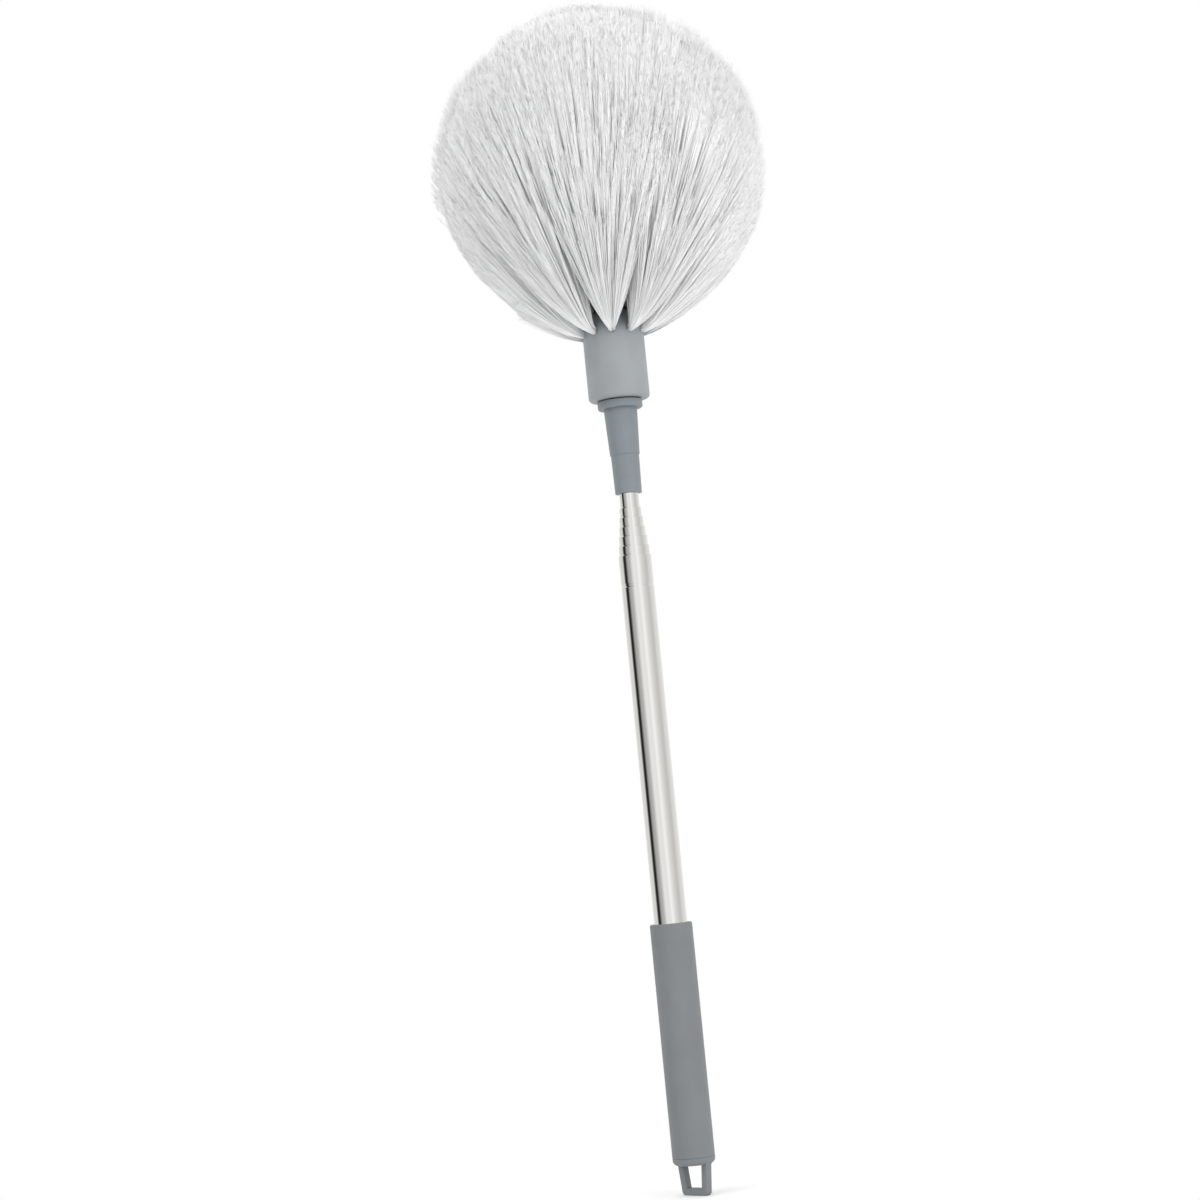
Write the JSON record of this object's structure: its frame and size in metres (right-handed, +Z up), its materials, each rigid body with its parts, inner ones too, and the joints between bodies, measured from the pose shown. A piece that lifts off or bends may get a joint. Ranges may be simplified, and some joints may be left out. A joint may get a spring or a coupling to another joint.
{
  "type": "cobweb brush",
  "caption": "Ball-headed cobweb brush: white bristle tufts splayed from a domed hub that screws onto a nested telescopic steel pole with a plain grip and a hanging loop.",
  "frame": {"origin": "foot of the hanging loop, on the pole's axis", "axes": "+Z up the pole towards the bristle head, +X along the hanging loop's width"},
  "size_m": [0.218, 0.218, 0.79],
  "materials": {
    "handle_plastic": "satin moulded grey",
    "connector_plastic": "satin moulded grey",
    "hub_plastic": "satin moulded grey",
    "pole_steel": "polished stainless",
    "sleeve_plastic": "smooth",
    "anchor_wire": "drawn wire",
    "bristle": "fine white synthetic filaments"
  },
  "bodies": {
    "handle": {"hang_cap": "handle_plastic", "grip_sleeve": "handle_plastic", "pole_section_1": "pole_steel"},
    "section_2": {"pole_section_2": "pole_steel", "friction_sleeve_2": "sleeve_plastic"},
    "section_3": {"pole_section_3": "pole_steel", "friction_sleeve_3": "sleeve_plastic"},
    "section_4": {"pole_section_4": "pole_steel", "friction_sleeve_4": "sleeve_plastic"},
    "section_5": {"pole_section_5": "pole_steel", "friction_sleeve_5": "sleeve_plastic"},
    "section_6": {"pole_section_6": "pole_steel", "friction_sleeve_6": "sleeve_plastic"},
    "section_7": {"pole_section_7": "pole_steel", "friction_sleeve_7": "sleeve_plastic", "pole_connector": "connector_plastic"},
    "head": {"brush_hub": "hub_plastic", "tuft_anchors": "anchor_wire", "tuft_rim_01": "bristle", "tuft_rim_02": "bristle", "tuft_rim_03": "bristle", "tuft_rim_04": "bristle", "tuft_rim_05": "bristle", "tuft_rim_06": "bristle", "tuft_rim_07": "bristle", "tuft_rim_08": "bristle", "tuft_rim_09": "bristle", "tuft_rim_10": "bristle", "tuft_upper_01": "bristle", "tuft_upper_02": "bristle", "tuft_upper_03": "bristle", "tuft_upper_04": "bristle", "tuft_upper_05": "bristle", "tuft_upper_06": "bristle", "tuft_upper_07": "bristle", "tuft_upper_08": "bristle", "tuft_upper_09": "bristle", "tuft_upper_10": "bristle", "tuft_inner_01": "bristle", "tuft_inner_02": "bristle", "tuft_inner_03": "bristle", "tuft_inner_04": "bristle", "tuft_inner_05": "bristle", "tuft_crown": "bristle"}
  },
  "joints": [
    {"name": "section_2_slide", "type": "slide", "parent": "handle", "child": "section_2", "axis": [0, 0, 1], "range_m": [0, 0.3224]},
    {"name": "section_3_slide", "type": "slide", "parent": "section_2", "child": "section_3", "axis": [0, 0, 1], "range_m": [0, 0.3288]},
    {"name": "section_4_slide", "type": "slide", "parent": "section_3", "child": "section_4", "axis": [0, 0, 1], "range_m": [0, 0.3352]},
    {"name": "section_5_slide", "type": "slide", "parent": "section_4", "child": "section_5", "axis": [0, 0, 1], "range_m": [0, 0.3416]},
    {"name": "section_6_slide", "type": "slide", "parent": "section_5", "child": "section_6", "axis": [0, 0, 1], "range_m": [0, 0.348]},
    {"name": "section_7_slide", "type": "slide", "parent": "section_6", "child": "section_7", "axis": [0, 0, 1], "range_m": [0, 0.3544]},
    {"name": "head_lift_off", "type": "slide", "parent": "section_7", "child": "head", "axis": [0, 0, 1], "range_m": [0, 0.035]}
  ]
}
